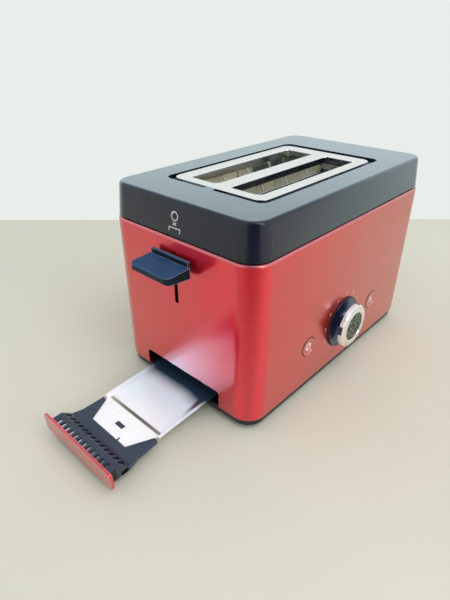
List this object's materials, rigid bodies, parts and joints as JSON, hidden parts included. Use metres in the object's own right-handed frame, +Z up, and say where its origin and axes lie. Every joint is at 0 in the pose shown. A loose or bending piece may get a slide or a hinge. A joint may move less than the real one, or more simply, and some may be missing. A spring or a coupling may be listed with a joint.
{
  "type": "pop up toaster",
  "caption": "Pop-up toaster in a painted steel housing with a moulded cover, a metal frame round the bread slots, a lift lever, a browning dial, push buttons and a pull-out crumb tray.",
  "frame": {"origin": "on the table, under the middle of the housing, in the plane of the feet", "axes": "+Z up; +X along the long side, away from the lever and the crumb tray; -Y is the side with the dial and the buttons"},
  "size_m": [0.3902, 0.1818, 0.1894],
  "materials": {
    "red_paint": "satin",
    "red_paint_button": "satin",
    "cover_plastic": "matte",
    "chrome_sheet": "satin",
    "black_plastic": "matte",
    "foot_rubber": "matte",
    "zinc_steel": "satin",
    "inner_steel": "satin",
    "mica": "matte",
    "heating_ribbon": "satin",
    "guard_wire": "bright",
    "black_gloss": "gloss",
    "magnet_steel": "satin",
    "spring_steel": "satin",
    "coil_copper": "satin",
    "dial_metal": "satin",
    "cap_plastic": "speckled",
    "pale_plastic": "matte",
    "circuit_board": "matte",
    "blue_plastic": "satin",
    "tray_metal": "satin",
    "handle_plastic": "satin"
  },
  "bodies": {
    "toaster": {"housing": "red_paint", "top_cover": "cover_plastic", "slot_frame": "chrome_sheet", "base_plate": "black_plastic", "feet": "foot_rubber", "base_screws": "zinc_steel", "front_end_plate": "inner_steel", "rear_end_plate": "inner_steel", "reflector_left": "inner_steel", "reflector_right": "inner_steel", "chassis_screws": "zinc_steel", "heater_board_left": "mica", "heater_board_centre": "mica", "heater_board_right": "mica", "winding_left": "heating_ribbon", "winding_centre": "heating_ribbon", "winding_right": "heating_ribbon", "guide_rod": "zinc_steel", "magnet_core": "magnet_steel", "magnet_coil": "coil_copper", "dial_bezel": "black_plastic", "control_bracket": "pale_plastic", "control_board": "circuit_board", "potentiometer": "blue_plastic", "key_switches": "black_plastic", "power_board": "circuit_board", "relay": "blue_plastic", "terminal_block": "pale_plastic", "cord_gland": "black_plastic"},
    "lift": {"carriage": "inner_steel", "lift_rack_left": "guard_wire", "lift_rack_right": "guard_wire", "lever_paddle": "black_gloss", "armature": "magnet_steel", "return_spring": "spring_steel"},
    "left_outer_guard": {"guard_left_outer": "guard_wire"},
    "left_inner_guard": {"guard_left_inner": "guard_wire"},
    "right_inner_guard": {"guard_right_inner": "guard_wire"},
    "right_outer_guard": {"guard_right_outer": "guard_wire"},
    "browning_dial": {"dial_body": "black_gloss", "dial_ring": "dial_metal", "dial_cap": "cap_plastic", "dial_shaft": "zinc_steel"},
    "stop_button": {"button_stop": "red_paint_button"},
    "defrost_button": {"button_defrost": "red_paint_button"},
    "crumb_tray": {"tray_pan": "tray_metal", "tray_handle": "handle_plastic", "tray_front": "red_paint_button"}
  },
  "joints": [
    {"name": "lift_slide", "type": "slide", "parent": "toaster", "child": "lift", "axis": [0, 0, -1], "range_m": [0, 0.036], "stiffness_N_per_m": 70, "springref_m": -0.04, "deforming": ["return_spring"]},
    {"name": "left_outer_guard_pivot", "type": "hinge", "parent": "toaster", "child": "left_outer_guard", "pos_m": [0, -0.0365, 0.046], "axis": [1, 0, 0], "range_deg": [-2.9, 0]},
    {"name": "left_inner_guard_pivot", "type": "hinge", "parent": "toaster", "child": "left_inner_guard", "pos_m": [0, -0.0105, 0.046], "axis": [1, 0, 0], "range_deg": [0, 2.9]},
    {"name": "right_inner_guard_pivot", "type": "hinge", "parent": "toaster", "child": "right_inner_guard", "pos_m": [0, 0.0105, 0.046], "axis": [1, 0, 0], "range_deg": [-2.9, 0]},
    {"name": "right_outer_guard_pivot", "type": "hinge", "parent": "toaster", "child": "right_outer_guard", "pos_m": [0, 0.0365, 0.046], "axis": [1, 0, 0], "range_deg": [0, 2.9]},
    {"name": "dial_turn", "type": "hinge", "parent": "toaster", "child": "browning_dial", "pos_m": [0, -0.084, 0.0536], "axis": [0, 1, 0], "range_deg": [0, 270]},
    {"name": "stop_button_push", "type": "slide", "parent": "toaster", "child": "stop_button", "axis": [0, 1, 0], "range_m": [0, 0.0012], "stiffness_N_per_m": 600, "springref_m": -0.0015},
    {"name": "defrost_button_push", "type": "slide", "parent": "toaster", "child": "defrost_button", "axis": [0, 1, 0], "range_m": [0, 0.0012], "stiffness_N_per_m": 600, "springref_m": -0.0015},
    {"name": "crumb_tray_slide", "type": "slide", "parent": "toaster", "child": "crumb_tray", "axis": [-0.999, 0, -0.0436], "range_m": [-0.112, 0.1]}
  ],
  "couplings": [
    {"joint": "left_outer_guard_pivot", "follows": "lift_slide", "rad_per_m": -1.4},
    {"joint": "left_inner_guard_pivot", "follows": "lift_slide", "rad_per_m": 1.4},
    {"joint": "right_inner_guard_pivot", "follows": "lift_slide", "rad_per_m": -1.4},
    {"joint": "right_outer_guard_pivot", "follows": "lift_slide", "rad_per_m": 1.4}
  ]
}
